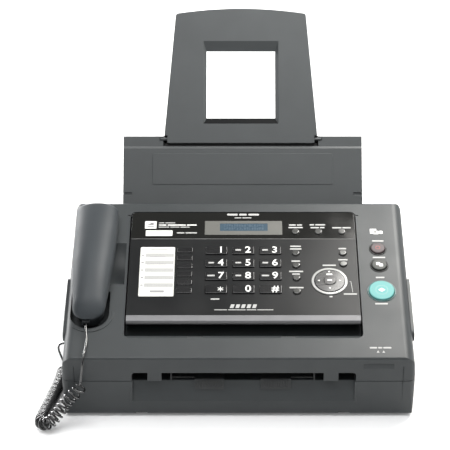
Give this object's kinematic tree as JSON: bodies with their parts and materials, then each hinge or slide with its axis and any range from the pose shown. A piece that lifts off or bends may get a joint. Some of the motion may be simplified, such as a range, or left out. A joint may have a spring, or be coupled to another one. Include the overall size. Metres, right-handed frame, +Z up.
{
  "type": "fax machine",
  "caption": "Desktop laser fax machine: sloping hinged cover with a key panel, side handset on a curly cord, front paper slot and a leaning rear paper tray with a folding extension",
  "frame": {"origin": "centre of the footprint of the machine without its cord, on the surface it stands on", "axes": "+X to the right as seen from the front, +Y from the front face to the back, +Z up"},
  "size_m": [0.4687, 0.4658, 0.3922],
  "materials": {
    "case_plastic": "fine spark-eroded grain, charcoal",
    "tray_plastic": "fine grain, charcoal",
    "panel_plastic": "semi-gloss black",
    "silver_trim": "satin silver paint on plastic",
    "lcd_bezel": "light grey, satin",
    "card_paper": "white card with grey rows",
    "handset_plastic": "fine grain, satin charcoal",
    "guide_plastic": "ribbed charcoal",
    "clear_plug": "translucent grey",
    "cord_black": "smooth black PVC",
    "foot_rubber": "matte black",
    "screw_steel": "zinc plated",
    "unit_plastic": "black engineering plastic",
    "board_green": "solder mask green",
    "roller_rubber": "matte grey rubber",
    "key_black": "satin black with white legends",
    "button_grey": "satin silver grey",
    "stop_mauve": "satin mauve grey",
    "copy_grey": "satin grey",
    "start_teal": "satin pale teal"
  },
  "bodies": {
    "base": {"base_housing": "case_plastic", "rubber_feet": "foot_rubber", "case_screws": "screw_steel", "laser_unit": "unit_plastic", "toner_drum_unit": "unit_plastic", "fuser_unit": "unit_plastic", "main_board": "board_green", "paper_tray": "tray_plastic", "cord_curl": "cord_black", "cord_lead": "cord_black", "base_plug": "clear_plug"},
    "top_cover": {"top_cover": "case_plastic", "cord_tail": "cord_black"},
    "control_panel": {"control_panel": "panel_plastic", "front_strip": "silver_trim", "navigator_ring": "silver_trim", "lcd_module": "lcd_bezel", "directory_card": "card_paper"},
    "handset": {"handset_shell": "handset_plastic", "handset_inner_shell": "handset_plastic", "handset_plug": "clear_plug"},
    "tray_extension": {"paper_tray_extension": "tray_plastic"},
    "hook_switch": {"hook_switch": "guide_plastic"},
    "exit_roller": {"exit_roller": "roller_rubber"},
    "pickup_roller": {"pickup_roller": "roller_rubber"},
    "document_guide_left": {"document_guide_left": "guide_plastic"},
    "document_guide_right": {"document_guide_right": "guide_plastic"},
    "guide_pinion": {"guide_pinion": "guide_plastic"},
    "key_1": {"key_1": "key_black"},
    "key_2": {"key_2": "key_black"},
    "key_3": {"key_3": "key_black"},
    "key_4": {"key_4": "key_black"},
    "key_5": {"key_5": "key_black"},
    "key_6": {"key_6": "key_black"},
    "key_7": {"key_7": "key_black"},
    "key_8": {"key_8": "key_black"},
    "key_9": {"key_9": "key_black"},
    "key_star": {"key_star": "key_black"},
    "key_0": {"key_0": "key_black"},
    "key_hash": {"key_hash": "key_black"},
    "one_touch_key_1": {"one_touch_key_1": "key_black"},
    "one_touch_key_2": {"one_touch_key_2": "key_black"},
    "one_touch_key_3": {"one_touch_key_3": "key_black"},
    "one_touch_key_4": {"one_touch_key_4": "key_black"},
    "one_touch_key_5": {"one_touch_key_5": "key_black"},
    "one_touch_key_6": {"one_touch_key_6": "key_black"},
    "function_button_1": {"function_button_1": "button_grey"},
    "function_button_2": {"function_button_2": "button_grey"},
    "function_button_3": {"function_button_3": "button_grey"},
    "function_button_4": {"function_button_4": "button_grey"},
    "function_button_5": {"function_button_5": "button_grey"},
    "function_button_6": {"function_button_6": "button_grey"},
    "function_button_7": {"function_button_7": "button_grey"},
    "function_button_8": {"function_button_8": "button_grey"},
    "function_button_9": {"function_button_9": "button_grey"},
    "navigator_pad": {"navigator_pad": "key_black"},
    "set_button": {"set_button": "key_black"},
    "stop_button": {"stop_button": "stop_mauve"},
    "copy_button": {"copy_button": "copy_grey"},
    "start_button": {"start_button": "start_teal"}
  },
  "joints": [
    {"name": "cover_hinge", "type": "hinge", "parent": "base", "child": "top_cover", "pos_m": [0, 0.0522, 0.158], "axis": [-1, 0, 0], "range_deg": [0, 50]},
    {"name": "panel_hinge", "type": "hinge", "parent": "top_cover", "child": "control_panel", "pos_m": [0, 0.02146, 0.16577], "axis": [-1, 0, 0], "range_deg": [0, 35]},
    {"name": "handset_lift", "type": "slide", "parent": "top_cover", "child": "handset", "axis": [0, -0.342, 0.9397], "range_m": [0, 0.12]},
    {"name": "hook_rise", "type": "slide", "parent": "top_cover", "child": "hook_switch", "axis": [0, -0.342, 0.9397], "range_m": [0, 0.004]},
    {"name": "tray_extension_fold", "type": "hinge", "parent": "base", "child": "tray_extension", "pos_m": [0, 0.11128, 0.23963], "axis": [-1, 0, 0], "range_deg": [-140, 0]},
    {"name": "exit_roller_spin", "type": "hinge", "parent": "base", "child": "exit_roller", "pos_m": [0, -0.1648, 0.05], "axis": [1, 0, 0], "continuous": true},
    {"name": "pickup_roller_spin", "type": "hinge", "parent": "base", "child": "pickup_roller", "pos_m": [0, 0.0202, 0.112], "axis": [1, 0, 0], "continuous": true},
    {"name": "guide_left_slide", "type": "slide", "parent": "base", "child": "document_guide_left", "axis": [1, 0, 0], "range_m": [0, 0.022]},
    {"name": "guide_right_slide", "type": "slide", "parent": "base", "child": "document_guide_right", "axis": [-1, 0, 0], "range_m": [0, 0.022]},
    {"name": "guide_pinion_spin", "type": "hinge", "parent": "base", "child": "guide_pinion", "pos_m": [0.005, -0.1818, 0.0497], "axis": [0, 0, 1], "range_deg": [0, 360]},
    {"name": "key_1_press", "type": "slide", "parent": "control_panel", "child": "key_1", "axis": [0, 0.342, -0.9397], "range_m": [0, 0.0012], "stiffness_N_per_m": 180, "springref_m": -0.0015},
    {"name": "key_2_press", "type": "slide", "parent": "control_panel", "child": "key_2", "axis": [0, 0.342, -0.9397], "range_m": [0, 0.0012], "stiffness_N_per_m": 180, "springref_m": -0.0015},
    {"name": "key_3_press", "type": "slide", "parent": "control_panel", "child": "key_3", "axis": [0, 0.342, -0.9397], "range_m": [0, 0.0012], "stiffness_N_per_m": 180, "springref_m": -0.0015},
    {"name": "key_4_press", "type": "slide", "parent": "control_panel", "child": "key_4", "axis": [0, 0.342, -0.9397], "range_m": [0, 0.0012], "stiffness_N_per_m": 180, "springref_m": -0.0015},
    {"name": "key_5_press", "type": "slide", "parent": "control_panel", "child": "key_5", "axis": [0, 0.342, -0.9397], "range_m": [0, 0.0012], "stiffness_N_per_m": 180, "springref_m": -0.0015},
    {"name": "key_6_press", "type": "slide", "parent": "control_panel", "child": "key_6", "axis": [0, 0.342, -0.9397], "range_m": [0, 0.0012], "stiffness_N_per_m": 180, "springref_m": -0.0015},
    {"name": "key_7_press", "type": "slide", "parent": "control_panel", "child": "key_7", "axis": [0, 0.342, -0.9397], "range_m": [0, 0.0012], "stiffness_N_per_m": 180, "springref_m": -0.0015},
    {"name": "key_8_press", "type": "slide", "parent": "control_panel", "child": "key_8", "axis": [0, 0.342, -0.9397], "range_m": [0, 0.0012], "stiffness_N_per_m": 180, "springref_m": -0.0015},
    {"name": "key_9_press", "type": "slide", "parent": "control_panel", "child": "key_9", "axis": [0, 0.342, -0.9397], "range_m": [0, 0.0012], "stiffness_N_per_m": 180, "springref_m": -0.0015},
    {"name": "key_star_press", "type": "slide", "parent": "control_panel", "child": "key_star", "axis": [0, 0.342, -0.9397], "range_m": [0, 0.0012], "stiffness_N_per_m": 180, "springref_m": -0.0015},
    {"name": "key_0_press", "type": "slide", "parent": "control_panel", "child": "key_0", "axis": [0, 0.342, -0.9397], "range_m": [0, 0.0012], "stiffness_N_per_m": 180, "springref_m": -0.0015},
    {"name": "key_hash_press", "type": "slide", "parent": "control_panel", "child": "key_hash", "axis": [0, 0.342, -0.9397], "range_m": [0, 0.0012], "stiffness_N_per_m": 180, "springref_m": -0.0015},
    {"name": "one_touch_key_1_press", "type": "slide", "parent": "control_panel", "child": "one_touch_key_1", "axis": [0, 0.342, -0.9397], "range_m": [0, 0.0012], "stiffness_N_per_m": 180, "springref_m": -0.0015},
    {"name": "one_touch_key_2_press", "type": "slide", "parent": "control_panel", "child": "one_touch_key_2", "axis": [0, 0.342, -0.9397], "range_m": [0, 0.0012], "stiffness_N_per_m": 180, "springref_m": -0.0015},
    {"name": "one_touch_key_3_press", "type": "slide", "parent": "control_panel", "child": "one_touch_key_3", "axis": [0, 0.342, -0.9397], "range_m": [0, 0.0012], "stiffness_N_per_m": 180, "springref_m": -0.0015},
    {"name": "one_touch_key_4_press", "type": "slide", "parent": "control_panel", "child": "one_touch_key_4", "axis": [0, 0.342, -0.9397], "range_m": [0, 0.0012], "stiffness_N_per_m": 180, "springref_m": -0.0015},
    {"name": "one_touch_key_5_press", "type": "slide", "parent": "control_panel", "child": "one_touch_key_5", "axis": [0, 0.342, -0.9397], "range_m": [0, 0.0012], "stiffness_N_per_m": 180, "springref_m": -0.0015},
    {"name": "one_touch_key_6_press", "type": "slide", "parent": "control_panel", "child": "one_touch_key_6", "axis": [0, 0.342, -0.9397], "range_m": [0, 0.0012], "stiffness_N_per_m": 180, "springref_m": -0.0015},
    {"name": "function_button_1_press", "type": "slide", "parent": "control_panel", "child": "function_button_1", "axis": [0, 0.342, -0.9397], "range_m": [0, 0.0012], "stiffness_N_per_m": 180, "springref_m": -0.0015},
    {"name": "function_button_2_press", "type": "slide", "parent": "control_panel", "child": "function_button_2", "axis": [0, 0.342, -0.9397], "range_m": [0, 0.0012], "stiffness_N_per_m": 180, "springref_m": -0.0015},
    {"name": "function_button_3_press", "type": "slide", "parent": "control_panel", "child": "function_button_3", "axis": [0, 0.342, -0.9397], "range_m": [0, 0.0012], "stiffness_N_per_m": 180, "springref_m": -0.0015},
    {"name": "function_button_4_press", "type": "slide", "parent": "control_panel", "child": "function_button_4", "axis": [0, 0.342, -0.9397], "range_m": [0, 0.0012], "stiffness_N_per_m": 180, "springref_m": -0.0015},
    {"name": "function_button_5_press", "type": "slide", "parent": "control_panel", "child": "function_button_5", "axis": [0, 0.342, -0.9397], "range_m": [0, 0.0012], "stiffness_N_per_m": 180, "springref_m": -0.0015},
    {"name": "function_button_6_press", "type": "slide", "parent": "control_panel", "child": "function_button_6", "axis": [0, 0.342, -0.9397], "range_m": [0, 0.0012], "stiffness_N_per_m": 180, "springref_m": -0.0015},
    {"name": "function_button_7_press", "type": "slide", "parent": "control_panel", "child": "function_button_7", "axis": [0, 0.342, -0.9397], "range_m": [0, 0.0012], "stiffness_N_per_m": 180, "springref_m": -0.0015},
    {"name": "function_button_8_press", "type": "slide", "parent": "control_panel", "child": "function_button_8", "axis": [0, 0.342, -0.9397], "range_m": [0, 0.0012], "stiffness_N_per_m": 180, "springref_m": -0.0015},
    {"name": "function_button_9_press", "type": "slide", "parent": "control_panel", "child": "function_button_9", "axis": [0, 0.342, -0.9397], "range_m": [0, 0.0012], "stiffness_N_per_m": 180, "springref_m": -0.0015},
    {"name": "navigator_pad_press", "type": "slide", "parent": "control_panel", "child": "navigator_pad", "axis": [0, 0.342, -0.9397], "range_m": [0, 0.0012], "stiffness_N_per_m": 180, "springref_m": -0.0015},
    {"name": "set_button_press", "type": "slide", "parent": "control_panel", "child": "set_button", "axis": [0, 0.342, -0.9397], "range_m": [0, 0.0012], "stiffness_N_per_m": 180, "springref_m": -0.0015},
    {"name": "stop_button_press", "type": "slide", "parent": "top_cover", "child": "stop_button", "axis": [0, 0.342, -0.9397], "range_m": [0, 0.0015], "stiffness_N_per_m": 180, "springref_m": -0.0015},
    {"name": "copy_button_press", "type": "slide", "parent": "top_cover", "child": "copy_button", "axis": [0, 0.342, -0.9397], "range_m": [0, 0.0015], "stiffness_N_per_m": 180, "springref_m": -0.0015},
    {"name": "start_button_press", "type": "slide", "parent": "top_cover", "child": "start_button", "axis": [0, 0.342, -0.9397], "range_m": [0, 0.0015], "stiffness_N_per_m": 180, "springref_m": -0.0015}
  ],
  "couplings": [
    {"joint": "hook_rise", "follows": "handset_lift", "ratio": 0.033333},
    {"joint": "guide_right_slide", "follows": "guide_left_slide", "ratio": 1},
    {"joint": "guide_pinion_spin", "follows": "guide_left_slide", "rad_per_m": 285.6}
  ]
}
